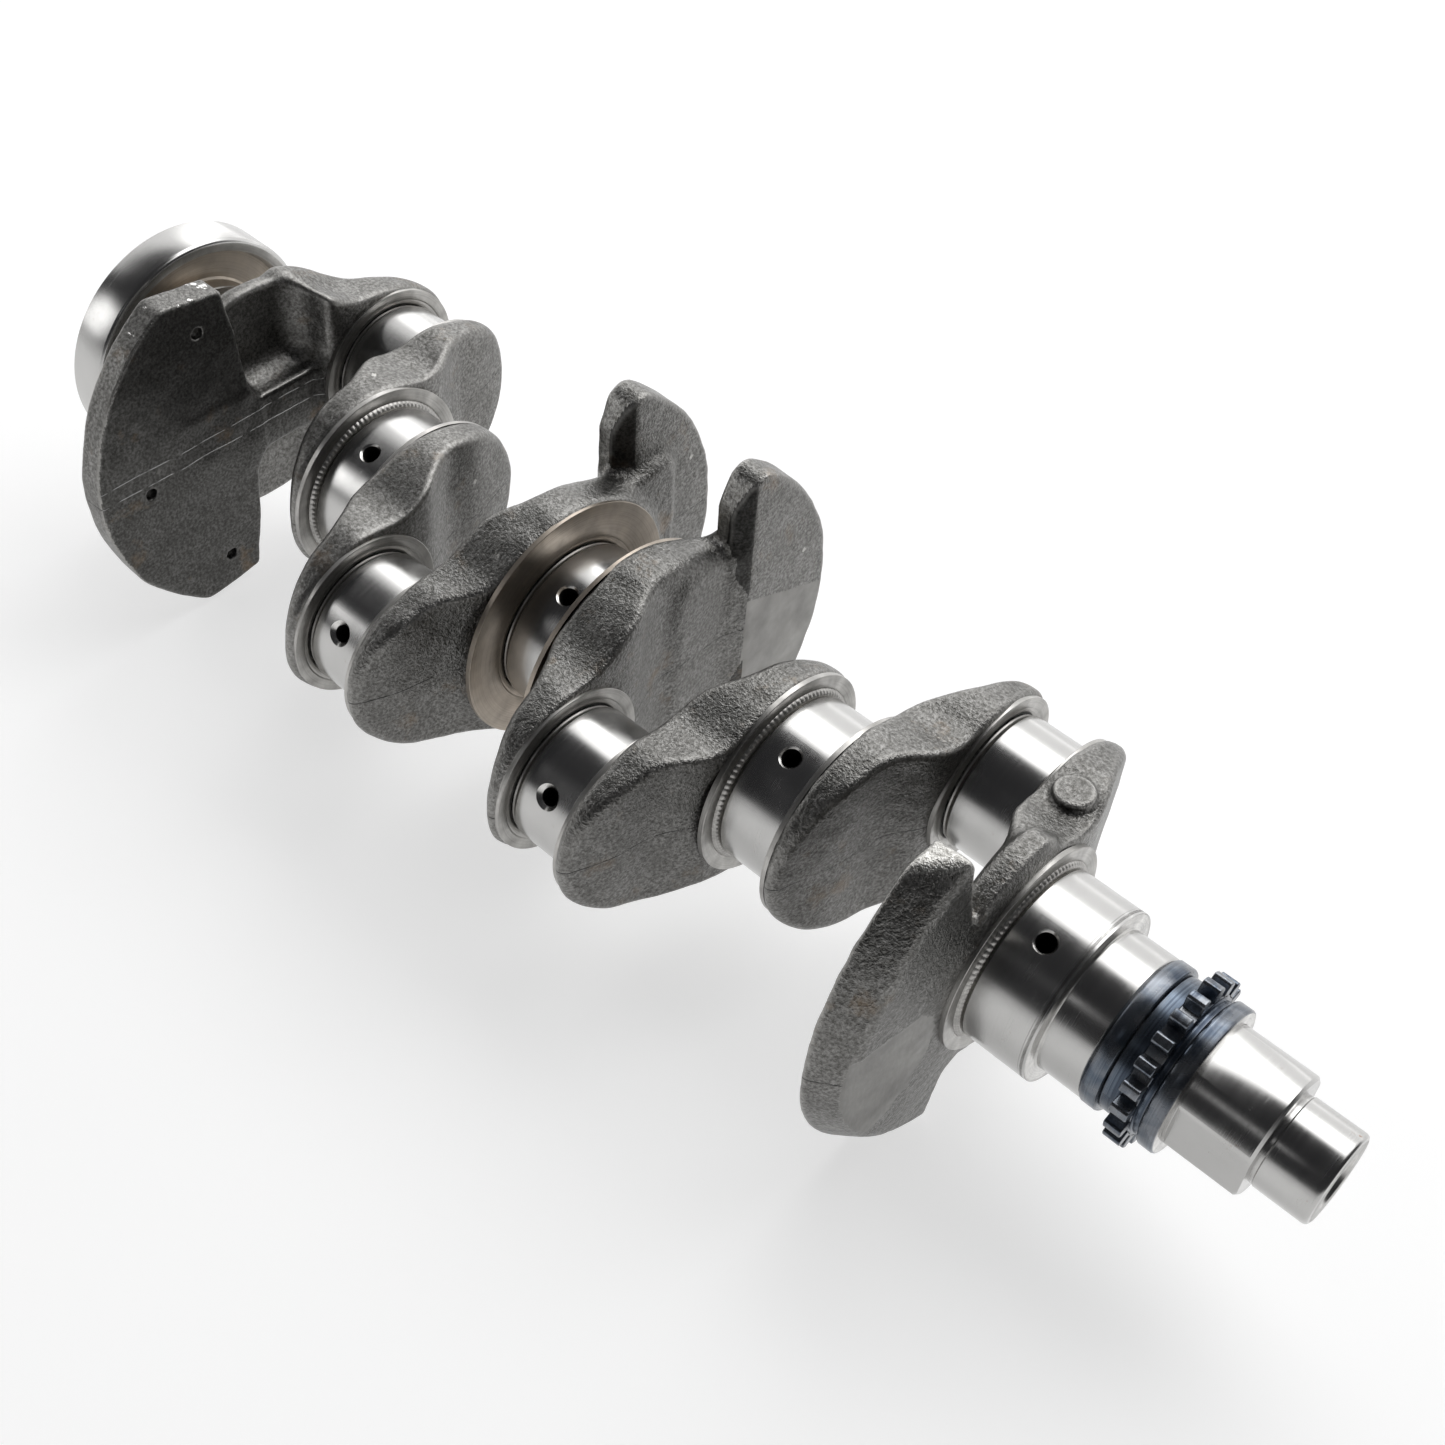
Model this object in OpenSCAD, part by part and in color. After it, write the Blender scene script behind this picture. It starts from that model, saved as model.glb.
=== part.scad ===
// Four-cylinder, five-bearing crankshaft with a slip-on sprocket set on its nose.
// X runs along the crank axis towards the nose, Y towards crankpins 1 and 4, Z up.
// The origin is the centre of main journal 3, on the crank axis.

/* [Crank layout] */
// Distance between neighbouring cylinders
bore_pitch = 88; // [86:0.5:92]
// Crank throw, half of the stroke
throw = 43; // [41:0.5:45]
// Diameter of the main journals
main_d = 55; // [54:0.5:56]
// Diameter of the crankpins
pin_d = 45; // [44:0.5:46]
// Width of every journal between two webs
journal_w = 22; // [21:0.5:23]

/* [Counterweights] */
// Radius swept by the counterweights
sweep_r = 73.5; // [71:0.5:75]

/* [Flange end] */
// Outside diameter of the flywheel flange
flange_d = 85; // [84:0.5:90]
// Pitch circle of the flywheel bolts
flange_pcd = 52; // [51:0.5:54]

/* [Nose end] */
// Diameter of the front oil seal journal
seal_d = 45; // [44.5:0.5:46]
// Diameter of the section with the pump flats
drive_d = 37.4; // [37:0.1:38]
// Distance across the two pump flats
across_flats = 33.3; // [32:0.1:35]
// Diameter of the nose
nose_d = 28; // [27:0.5:29]
// Number of sprocket teeth
teeth = 21; // [19:1:23]

/* [Hidden] */

// Smoothness of the turned surfaces and of the forged webs
turned_fn = 96;
forged_fn = 56;

// Spacing along the crank
half_pitch = bore_pitch / 2;
half_w = journal_w / 2;
web_t = half_pitch - journal_w;

// Rolled fillet groove at both ends of every journal
groove_w = 1.6;
groove_d = 0.7;

// Oil drillings
main_hole_r = 3;
main_hole_mouth_r = 3.6;
pin_hole_r = 2.75;
pin_hole_mouth_r = 4;
gallery_r = 2.75;
main_hole_angle = 114;
pin_hole_lead = 33.7;
drill_overrun = 5;

// Ground rings around the journals on the web faces
ring_t = 1;
main_ring_r = 33.5;
pin_ring_r = 27.5;
thrust_ring_r = 41;

// Forged lobes of the webs
main_lobe_r = 34;
pin_lobe_r = 28.5;
rear_lobe_r = 43;
lip_t = 4;
waist_half_h = 25;
waist_y = [throw * 0.38, throw * 0.62];

// Counterweight blades, measured from the face that carries the main journal
inner_blade = [9, 19];
front_blade = [3, 16];
rear_blade = [8, 18];
inner_chord_y = 31;
horn_half_h = 57;
hub_half_h = 36;

// Locating pad on top of the front web
pad_r = 6;
pad_at = [153, 31, 31.5];

// Target wheel screws in the rear counterweight
screw_hole_r = 2.1;
screw_circle_r = 55;
screw_angles = [121.5, 184, 238.5];

// Flywheel flange
flange_x0 = -205.5;
flange_x1 = -190;
flange_edge = 1.5;
recess_r = 38;
recess_floor_x = -193;
neck_r = 26.5;
bolt_count = 6;
bolt_hole_r = 4.25;
bolt_hole_depth = 11;
pilot_r = 11;
pilot_depth = 14;
dowel_hole_r = 4;
dowel_hole_depth = 9;
dowel_angle = 30;

// Steps of the nose end along the crank
seal_x0 = 187.3;
seal_x1 = 201.3;
drive_x1 = 247.5;
nose_x1 = 265.3;
nose_edge = 1;
thread_r = 6.25;
thread_mouth_r = 8.2;
thread_depth = 42;
neck_ring_x = 225.2;

// Slip-on sprocket set
slip_r = drive_d / 2 + 0.05;
collar_r = 22.8;
hub_r = 21.2;
tooth_root_r = 22.6;
tooth_tip_r = 26.6;
rear_collar_x = [201.4, 206.6];
sprocket_x = [206.7, 219.6];
tooth_x = [211.8, 217.2];
front_collar_x = [219.7, 224.7];
collar_edge = 0.6;

forged = [0.36, 0.36, 0.35];
ground = [0.78, 0.78, 0.77];
oxide = [0.12, 0.14, 0.18];

// Position of a main journal, numbered 1 to 5 from the nose
function main_x(i) = (3 - i) * bore_pitch;

// Position of a crankpin, numbered 1 to 4 from the nose
function pin_x(i) = main_x(i) - half_pitch;

// Side of the crank axis on which a crankpin stands
function pin_side(i) = (i == 1 || i == 4) ? 1 : -1;

// Direction of the oil hole in a crankpin
function pin_hole_angle(i) = (pin_side(i) > 0 ? 0 : 180) - pin_hole_lead;

// A disc square to the crank axis, from x to x + t
module disc(x, r, t, y = 0, fn = turned_fn) {
    translate([x, y, 0])
        rotate([0, 90, 0])
            cylinder(r = r, h = t, $fn = fn);
}

// A turned solid from a profile of radius and position along the crank
module turned(profile) {
    rotate([0, 90, 0])
        rotate_extrude($fn = turned_fn)
            polygon(profile);
}

// A ground journal with a rolled groove at both ends
module journal(r, w) {
    h = w / 2;
    turned([
        [0, -h],
        [r - groove_d, -h],
        [r - groove_d, groove_w - h],
        [r, groove_w + groove_d - h],
        [r, h - groove_w - groove_d],
        [r - groove_d, h - groove_w],
        [r - groove_d, h],
        [0, h]
    ]);
}

// A radial drilling with a countersunk mouth, from the journal's axis outwards
module radial_hole(angle, surface_r, hole_r, mouth_r) {
    sink = mouth_r - hole_r;
    rotate([angle - 90, 0, 0]) {
        translate([0, 0, -drill_overrun / 2])
            cylinder(r = hole_r, h = surface_r + drill_overrun, $fn = 32);
        translate([0, 0, surface_r - sink])
            cylinder(r1 = hole_r, r2 = mouth_r + 1, h = sink + 1, $fn = 32);
    }
}

// The drilling that feeds crankpin i from main journal i
module gallery(i) {
    run = norm([half_pitch, throw]);
    translate([main_x(i), 0, 0])
        rotate([0, 0, atan2(pin_side(i) * throw, -half_pitch)])
            rotate([0, 90, 0])
                cylinder(r = gallery_r, h = run + drill_overrun, $fn = 32);
}

module main_journal(i) {
    color(ground)
        difference() {
            translate([main_x(i), 0, 0])
                journal(main_d / 2, journal_w);
            if (i < 5) {
                translate([main_x(i), 0, 0]) {
                    radial_hole(main_hole_angle, main_d / 2, main_hole_r, main_hole_mouth_r);
                    radial_hole(main_hole_angle + 180, main_d / 2, main_hole_r, main_hole_mouth_r);
                }
                gallery(i);
            }
        }
}

module crankpin(i) {
    color(ground)
        difference() {
            translate([pin_x(i), pin_side(i) * throw, 0])
                journal(pin_d / 2, journal_w);
            translate([pin_x(i), pin_side(i) * throw, 0])
                radial_hole(pin_hole_angle(i), pin_d / 2, pin_hole_r, pin_hole_mouth_r);
            gallery(i);
        }
}

// Places a web drawn from its main journal face towards its crankpin face,
// with the crankpin on the +Y side
module place_web(i) {
    cylinder_no = ceil(i / 2);
    main_in_front = i % 2 == 1;
    face_x = main_in_front ? main_x(cylinder_no) - half_w : main_x(cylinder_no + 1) + half_w;
    translate([face_x, 0, 0])
        mirror([main_in_front ? 1 : 0, 0, 0])
            mirror([0, pin_side(cylinder_no) < 0 ? 1 : 0, 0])
                children();
}

// The forged arm between the two journals of a web
module arm(lobe_r) {
    hull() {
        disc(ring_t, lobe_r, lip_t, 0, forged_fn);
        disc(web_t - ring_t - lip_t, pin_lobe_r, lip_t, throw, forged_fn);
    }
    translate([ring_t, waist_y[0], -waist_half_h])
        cube([web_t - 2 * ring_t, waist_y[1] - waist_y[0], 2 * waist_half_h]);
}

// The two ground rings on the faces of a web
module rings(main_r) {
    disc(0, main_r, ring_t + 0.5);
    disc(web_t - ring_t - 0.5, pin_ring_r, ring_t + 0.5, throw);
}

// A plate square to the crank axis, from a flat shape of Y and Z
module plate(x0, x1) {
    translate([x0, 0, 0])
        rotate([90, 0, 90])
            linear_extrude(height = x1 - x0)
                children();
}

// Counterweight of an inner web: a circle segment with clipped horns
module inner_weight() {
    plate(inner_blade[0], inner_blade[1])
        intersection() {
            circle(r = sweep_r, $fn = turned_fn);
            translate([-sweep_r, -horn_half_h - 5])
                square([sweep_r - inner_chord_y, 2 * horn_half_h + 10]);
        }
    hull() {
        disc(ring_t, hub_half_h, lip_t, 0, forged_fn);
        translate([inner_blade[0], -inner_chord_y - 8, -hub_half_h])
            cube([inner_blade[1] - inner_blade[0] - 1, 8, 2 * hub_half_h]);
    }
}

// Flat outline of an outer counterweight: a fan with clipped horns
module fan_shape() {
    intersection() {
        circle(r = sweep_r, $fn = turned_fn);
        polygon([
            [4, 30],
            [-12, 36],
            [-17, horn_half_h],
            [-sweep_r, horn_half_h],
            [-sweep_r, -horn_half_h],
            [-17, -horn_half_h],
            [-12, -36],
            [4, -30]
        ]);
    }
}

// Counterweight of an outer web
module outer_weight(blade, hub_r_max) {
    plate(blade[0], blade[1])
        fan_shape();
    hull() {
        disc(ring_t, hub_r_max, lip_t, 0, forged_fn);
        translate([blade[0], -inner_chord_y - 8, -hub_half_h])
            cube([blade[1] - blade[0] - 2, 14, 2 * hub_half_h]);
    }
}

module web(i) {
    color(forged)
        difference() {
            union() {
                place_web(i) {
                    if (i == 4 || i == 5) {
                        arm(thrust_ring_r);
                        rings(thrust_ring_r);
                        inner_weight();
                    } else if (i == 1) {
                        arm(main_lobe_r);
                        rings(main_ring_r);
                        outer_weight(front_blade, main_lobe_r);
                    } else if (i == 8) {
                        arm(rear_lobe_r);
                        rings(main_ring_r);
                        outer_weight(rear_blade, rear_lobe_r);
                    } else {
                        arm(main_lobe_r);
                        rings(main_ring_r);
                    }
                }
                if (i == 1)
                    translate([pad_at[0], pad_at[1], 0])
                        cylinder(r = pad_r, h = pad_at[2], $fn = 48);
            }
            if (i % 2 == 1)
                gallery(ceil(i / 2));
            if (i == 8)
                screw_holes();
        }
}

// Tapped holes for the target wheel, through the rear counterweight
module screw_holes() {
    x0 = main_x(5) + half_w + rear_blade[0] - 1;
    for (a = screw_angles)
        rotate([a, 0, 0])
            disc(x0, screw_hole_r, rear_blade[1] - rear_blade[0] + 2, screw_circle_r, 32);
}

module flywheel_flange() {
    r = flange_d / 2;
    bearing_end = main_x(5) - half_w;
    color(ground)
        difference() {
            turned([
                [0, flange_x0],
                [r - 1, flange_x0],
                [r, flange_x0 + 1],
                [r, flange_x1 - flange_edge],
                [r - flange_edge, flange_x1],
                [recess_r, flange_x1],
                [recess_r, recess_floor_x],
                [neck_r, recess_floor_x],
                [neck_r, bearing_end],
                [0, bearing_end]
            ]);
            disc(flange_x0 - 1, pilot_r, pilot_depth + 1);
            for (k = [0:bolt_count - 1])
                rotate([k * 360 / bolt_count, 0, 0])
                    disc(flange_x0 - 1, bolt_hole_r, bolt_hole_depth + 1, flange_pcd / 2, 32);
            rotate([dowel_angle, 0, 0])
                disc(flange_x0 - 1, dowel_hole_r, dowel_hole_depth + 1, flange_pcd / 2 + 1, 32);
        }
}

module seal_journal() {
    r = seal_d / 2;
    start = main_x(1) + half_w;
    color(ground)
        turned([
            [0, start],
            [main_d / 2 - groove_d, start],
            [main_d / 2, start + groove_d],
            [main_d / 2, seal_x0 - 0.2],
            [main_d / 2 - 0.5, seal_x0 + 0.3],
            [r + 1, seal_x0 + 0.3],
            [r, seal_x0 + 1.3],
            [r, seal_x1 - 0.6],
            [r - 0.6, seal_x1],
            [0, seal_x1]
        ]);
}

module pump_drive() {
    r = drive_d / 2;
    color(ground)
        difference() {
            turned([
                [0, seal_x1],
                [r, seal_x1],
                [r, drive_x1 - 0.8],
                [r - 0.8, drive_x1],
                [0, drive_x1]
            ]);
            for (side = [-1, 1])
                translate([neck_ring_x + 0.6, side * (across_flats / 2 + 5) - 5, -r])
                    cube([drive_x1 - neck_ring_x, 10, 2 * r]);
            bolt_thread();
        }
}

// The threaded hole for the pulley bolt, with a countersunk mouth
module bolt_thread() {
    disc(nose_x1 - thread_depth, thread_r, thread_depth + 1);
    translate([nose_x1 - 2, 0, 0])
        rotate([0, 90, 0])
            cylinder(r1 = thread_r, r2 = thread_mouth_r + 1, h = 3, $fn = turned_fn);
}

module nose() {
    r = nose_d / 2;
    color(ground)
        difference() {
            turned([
                [0, drive_x1],
                [r - 0.4, drive_x1],
                [r - 0.4, drive_x1 + 1.2],
                [r, drive_x1 + 1.6],
                [r, nose_x1 - nose_edge],
                [r - nose_edge, nose_x1],
                [0, nose_x1]
            ]);
            bolt_thread();
        }
}

// A slip-on ring with broken outer edges
module collar(span) {
    color(oxide)
        turned([
            [slip_r, span[0]],
            [collar_r - collar_edge, span[0]],
            [collar_r, span[0] + collar_edge],
            [collar_r, span[1] - collar_edge],
            [collar_r - collar_edge, span[1]],
            [slip_r, span[1]]
        ]);
}

// Square-crested sprocket teeth between two hub shoulders
module timing_sprocket() {
    flank = 360 / teeth;
    color(oxide) {
        turned([
            [slip_r, sprocket_x[0]],
            [hub_r, sprocket_x[0]],
            [hub_r, tooth_x[0]],
            [tooth_root_r, tooth_x[0]],
            [tooth_root_r, tooth_x[1]],
            [hub_r, tooth_x[1]],
            [hub_r, sprocket_x[1]],
            [slip_r, sprocket_x[1]]
        ]);
        plate(tooth_x[0], tooth_x[1])
            for (k = [0:teeth - 1])
                rotate(k * flank)
                    polygon([
                        [tooth_root_r - 1, -2.1],
                        [tooth_tip_r - 0.6, -1.5],
                        [tooth_tip_r, -1],
                        [tooth_tip_r, 1],
                        [tooth_tip_r - 0.6, 1.5],
                        [tooth_root_r - 1, 2.1]
                    ]);
    }
}

flywheel_flange();
main_journal(1);  // main_journal_1
main_journal(2);  // main_journal_2
main_journal(3);  // main_journal_3
main_journal(4);  // main_journal_4
main_journal(5);  // main_journal_5
crankpin(1);  // crankpin_1
crankpin(2);  // crankpin_2
crankpin(3);  // crankpin_3
crankpin(4);  // crankpin_4
web(1);  // web_1
web(2);  // web_2
web(3);  // web_3
web(4);  // web_4
web(5);  // web_5
web(6);  // web_6
web(7);  // web_7
web(8);  // web_8
seal_journal();
pump_drive();
nose();
collar(rear_collar_x);  // rear_collar
timing_sprocket();
collar(front_collar_x);  // front_collar
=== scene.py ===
"""Looks of a forged four-cylinder crankshaft that carries a black timing sprocket set.

X runs along the crank axis towards the nose, Y towards crankpins 1 and 4, Z up.
Lengths are in millimetres until a mesh is made; MM turns them into metres.
"""
import math
from functools import partial

import bpy
import numpy as np
import openvdb
from mathutils import Matrix, Vector
from mathutils.geometry import delaunay_2d_cdt


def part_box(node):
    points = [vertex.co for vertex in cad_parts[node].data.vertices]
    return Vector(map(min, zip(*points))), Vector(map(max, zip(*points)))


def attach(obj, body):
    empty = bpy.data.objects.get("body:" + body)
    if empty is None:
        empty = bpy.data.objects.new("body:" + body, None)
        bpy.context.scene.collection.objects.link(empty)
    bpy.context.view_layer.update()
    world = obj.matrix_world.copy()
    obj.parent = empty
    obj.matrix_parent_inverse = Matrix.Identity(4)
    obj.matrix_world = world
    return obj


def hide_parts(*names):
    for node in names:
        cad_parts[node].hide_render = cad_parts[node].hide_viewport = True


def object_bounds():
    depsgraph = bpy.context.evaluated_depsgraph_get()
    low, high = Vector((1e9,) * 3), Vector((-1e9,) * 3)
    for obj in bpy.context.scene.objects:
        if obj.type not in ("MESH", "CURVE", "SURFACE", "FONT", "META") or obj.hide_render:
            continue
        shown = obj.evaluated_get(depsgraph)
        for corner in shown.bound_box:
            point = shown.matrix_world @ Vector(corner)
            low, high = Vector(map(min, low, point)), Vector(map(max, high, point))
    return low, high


MM = 0.001
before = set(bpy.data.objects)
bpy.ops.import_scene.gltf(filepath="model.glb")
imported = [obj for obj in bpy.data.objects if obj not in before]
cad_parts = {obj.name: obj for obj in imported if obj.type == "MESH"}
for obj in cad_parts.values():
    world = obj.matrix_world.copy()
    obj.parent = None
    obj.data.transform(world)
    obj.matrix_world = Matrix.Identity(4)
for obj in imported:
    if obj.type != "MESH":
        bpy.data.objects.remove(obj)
CAD_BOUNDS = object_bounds()

# ---------------------------------------------------------------- dimensions


def span(node):
    """Lowest and highest corner of a CAD node in millimetres."""
    low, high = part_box(node)
    return np.array(low) / MM, np.array(high) / MM


def polar(radius, degrees):
    """(y, z) at an angle round the crank's axis."""
    turn = math.radians(degrees)
    return radius * math.cos(turn), radius * math.sin(turn)


def middle(node):
    """Centre of a CAD node in millimetres."""
    low, high = span(node)
    return (low + high) / 2


MAIN_X = [middle(f"main_journal_{i}")[0] for i in range(1, 6)]
PIN_AT = [middle(f"crankpin_{i}") for i in range(1, 5)]
THROW = abs(PIN_AT[0][1])
MAIN_R = span("main_journal_3")[1][2]
PIN_R = span("crankpin_2")[1][2]
JOURNAL_W = np.ptp([span("main_journal_3")[0][0], span("main_journal_3")[1][0]])
WEB_T = np.ptp([span("web_3")[0][0], span("web_3")[1][0]])
SWEEP_R = span("web_4")[1][1]

# Rolled fillet grooves, machined rings on the webs and the forged lobes round the journals
GROOVE_W = 1.7
GROOVE_DEPTH = 0.7
MAIN_RING_R = 33.5
PIN_RING_R = 27.5
THRUST_RING_R = 41.0
MAIN_LOBE_R = 34.0
PIN_LOBE_R = 28.5
REAR_LOBE_R = 43.0

# Oil holes: angle round the crank's axis, and how far a pin's hole lies ahead of straight out
MAIN_HOLE_ANGLE = 114
PIN_HOLE_LEAD = 33.7
MAIN_HOLE = {"r": 2.9, "mouth_r": 3.5}
PIN_HOLE = {"r": 2.7, "mouth_r": 3.95}
HOLE_MARGIN = 2.2
HOLE_DEPTH = 16
DARK_BELOW_LIP = 4

# Facets round a journal and round the other turned pieces; beads round a rolled fillet
JOURNAL_SEGMENTS = 384
RING_SEGMENTS = 320
BEADS = 98
BEAD_H = 0.16

CRANK, SPROCKET_SET = "crankshaft", "sprocket_set"
CENTRE = (0, 0, 0)

# ---------------------------------------------------------------- materials


class Paint:
    """A Principled material with short calls for adding and joining nodes."""

    def __init__(self, name):
        self.mat = bpy.data.materials.new(name)
        self.mat.use_nodes = True
        self.tree = self.mat.node_tree
        self.shader = self.tree.nodes["Principled BSDF"]
        self.place = self.add("ShaderNodeTexCoord").outputs["Object"]

    def add(self, kind, **values):
        node = self.tree.nodes.new(kind)
        for key, value in values.items():
            setattr(node, key, value)
        return node

    def feed(self, socket, value):
        """Links a socket's output, or sets a plain value."""
        if isinstance(value, bpy.types.NodeSocket):
            self.tree.links.new(value, socket)
        else:
            socket.default_value = value

    def set(self, **values):
        """Feeds the shader's own sockets; an underscore stands for a space."""
        for key, value in values.items():
            self.feed(self.shader.inputs[key.replace("_", " ")], value)

    def math(self, operation, a, b=0.0):
        node = self.add("ShaderNodeMath", operation=operation)
        self.feed(node.inputs[0], a)
        self.feed(node.inputs[1], b)
        return node.outputs[0]

    def noise(self, scale, detail=2.0, rough=0.5, at=None):
        """Noise of so many features per metre, from 0 to 1."""
        node = self.add("ShaderNodeTexNoise")
        self.feed(node.inputs["Vector"], self.place if at is None else at)
        self.feed(node.inputs["Scale"], scale)
        self.feed(node.inputs["Detail"], detail)
        self.feed(node.inputs["Roughness"], rough)
        return node.outputs["Fac"]

    def ramp(self, value, *stops):
        """Colour ramp through (position, RGB) stops."""
        node = self.add("ShaderNodeValToRGB")
        self.feed(node.inputs[0], value)
        ramp = node.color_ramp
        while len(ramp.elements) < len(stops):
            ramp.elements.new(1.0)
        for element, (position, rgb) in zip(ramp.elements, stops):
            element.position = position
            element.color = (*rgb, 1.0)
        return node.outputs[0]

    def level(self, value, low, high, out_low=0.0, out_high=1.0):
        """Maps low..high to out_low..out_high, clamped."""
        node = self.add("ShaderNodeMapRange")
        for key, number in zip((0, 1, 2, 3, 4), (value, low, high, out_low, out_high)):
            self.feed(node.inputs[key], number)
        return node.outputs[0]

    def mix(self, share, a, b):
        """Colour between a and b; each is a socket or an RGB triple."""
        node = self.add("ShaderNodeMix", data_type="RGBA")
        self.feed(node.inputs[0], share)
        for socket, value in ((node.inputs[6], a), (node.inputs[7], b)):
            self.feed(socket, value if isinstance(value, bpy.types.NodeSocket) else (*value, 1.0))
        return node.outputs[2]

    def split(self, vector):
        node = self.add("ShaderNodeSeparateXYZ")
        self.feed(node.inputs[0], vector)
        return node.outputs

    def join(self, x, y, z):
        node = self.add("ShaderNodeCombineXYZ")
        for socket, value in zip(node.inputs, (x, y, z)):
            self.feed(socket, value)
        return node.outputs[0]

    def bump(self, height, distance, strength=1.0, under=None):
        node = self.add("ShaderNodeBump")
        self.feed(node.inputs["Strength"], strength)
        self.feed(node.inputs["Distance"], distance)
        self.feed(node.inputs["Height"], height)
        if under is not None:
            self.feed(node.inputs["Normal"], under)
        return node.outputs["Normal"]


def lathe_coordinates(paint):
    """Position along the axis, distance from it and angle round it, in the piece's own frame."""
    x, y, z = paint.split(paint.place)
    squares = paint.math("ADD", paint.math("MULTIPLY", y, y), paint.math("MULTIPLY", z, z))
    radius = paint.math("SQRT", squares)
    angle = paint.math("ARCTAN2", z, y)
    return x, radius, angle


def turned_lines(paint, per_metre, drift=0.4):
    """Fine lines round the axis, on cylinders as well as on end faces."""
    x, radius, angle = lathe_coordinates(paint)
    at = paint.join(
        paint.math("MULTIPLY", x, per_metre),
        paint.math("MULTIPLY", radius, per_metre),
        paint.math("MULTIPLY", angle, drift),
    )
    return paint.noise(1.0, 2.0, 0.6, at)


def ground_steel():
    """Ground and polished steel with fine lines round the axis, smudges and a few stains."""
    paint = Paint("ground_steel")
    tint = (0.53, 0.525, 0.515)
    lines = turned_lines(paint, 5200)
    smudge = paint.noise(70, 4.0, 0.6)
    spots = paint.noise(900, 2.0, 0.5)
    shade = paint.mix(paint.level(smudge, 0.35, 0.75, 0.0, 0.35), tint, tuple(0.82 * c for c in tint))
    rust = paint.level(paint.math("MULTIPLY", smudge, spots), 0.42, 0.5)
    shade = paint.mix(paint.math("MULTIPLY", rust, 0.7), shade, (0.23, 0.12, 0.06))
    roughness = paint.level(lines, 0.2, 0.8, 0.14, 0.27)
    roughness = paint.math("ADD", roughness, paint.level(smudge, 0.45, 0.8, 0.0, 0.08))
    paint.set(Base_Color=shade, Metallic=1.0, Roughness=roughness, Normal=paint.bump(lines, 0.000006))
    return paint.mat


def turned_steel(name, tint=(0.5, 0.49, 0.47), rough=0.28, brown=0.0):
    """Coarser turned faces: rings, fillets and grooves."""
    paint = Paint(name)
    lines = turned_lines(paint, 2600, 0.8)
    patch = paint.noise(160, 4.0, 0.6)
    shade = paint.mix(paint.level(patch, 0.3, 0.75), tint, tuple(0.6 * c for c in tint))
    if brown:
        shade = paint.mix(paint.level(patch, 0.25, 0.7, brown, brown * 0.5), shade, (0.27, 0.19, 0.13))
    shade = paint.mix(paint.level(lines, 0.45, 0.8, 0.0, 0.4), shade, (0.12, 0.11, 0.1))
    roughness = paint.level(patch, 0.3, 0.7, rough, rough * 1.4)
    paint.set(Base_Color=shade, Metallic=1.0, Roughness=roughness, Normal=paint.bump(lines, 0.00002))
    return paint.mat


def grain(paint):
    """Height of the sandy skin of a shot-blasted forging, and the finer of its two grains."""
    coarse = paint.noise(1000, 2.0, 0.6)
    fine = paint.noise(2600, 2.0, 0.6)
    height = paint.math("ADD", paint.math("MULTIPLY", coarse, 0.72), paint.math("MULTIPLY", fine, 0.28))
    return height, fine


def flash_line(paint, at_z):
    """The broken, wavy line that the trimmed flash leaves where the two dies met."""
    width = 0.00022
    z = paint.split(paint.place)[2]
    wave = paint.math("MULTIPLY", paint.math("SUBTRACT", paint.noise(28, 2.0), 0.5), 0.0042)
    away = paint.math("ABSOLUTE", paint.math("SUBTRACT", paint.math("ADD", z, wave), at_z))
    line = paint.level(away, width * 0.45, width, 1.0, 0.0)
    return paint.math("MULTIPLY", line, paint.level(paint.noise(150, 2.0), 0.4, 0.52))


def forged_steel(name, depth=0.0005, tone=0.85, rough=0.34, line_tone=0.02, lines=(0.0,), edge_wear_and_highlight=0.75):
    """Shot-blasted forged steel; depth is the relief of its grain in metres, lines are heights in Z. Convex
    edges are lightened, partly as edge wear and partly as a painted highlight, and hollows are darkened as
    painted shade.
    """
    paint = Paint(name)
    height, fine = grain(paint)
    broad = paint.noise(130, 3.0, 0.5)
    greys = ((0.11, 0.107, 0.1), (0.2, 0.197, 0.188), (0.32, 0.315, 0.305))
    low, mid, high = (tuple(c * tone for c in grey) for grey in greys)
    shade = paint.ramp(height, (0.38, low), (0.5, mid), (0.62, high))
    shade = paint.mix(paint.level(broad, 0.4, 0.72, 0.0, 0.4), shade, low)
    edge = paint.add("ShaderNodeNewGeometry").outputs["Pointiness"]
    # Convex edges lighter: partly edge wear, partly a painted highlight.
    shade = paint.mix(paint.level(edge, 0.505, 0.56, 0.0, edge_wear_and_highlight), shade, (0.52, 0.51, 0.49))
    # Concave hollows darker: painted shade.
    shade = paint.mix(paint.level(edge, 0.49, 0.44, 0.0, 0.7), shade, tuple(c * 0.5 for c in low))
    rust = paint.level(paint.noise(60, 4.0, 0.7), 0.6, 0.74, 0.0, 0.45)
    shade = paint.mix(rust, shade, (0.2, 0.14, 0.085))
    skin = paint.bump(height, depth, 1.0)
    skin = paint.bump(broad, 0.0006, 0.4, skin)
    for at_z in lines:
        line = flash_line(paint, at_z)
        shade = paint.mix(paint.math("MULTIPLY", line, 0.85), shade, (line_tone,) * 3)
        skin = paint.bump(line, 0.0003, 1.0, skin)
    roughness = paint.level(fine, 0.3, 0.7, rough * 0.8, rough * 1.25)
    paint.set(Base_Color=shade, Metallic=1.0, Roughness=roughness, Normal=skin)
    return paint.mat


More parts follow.
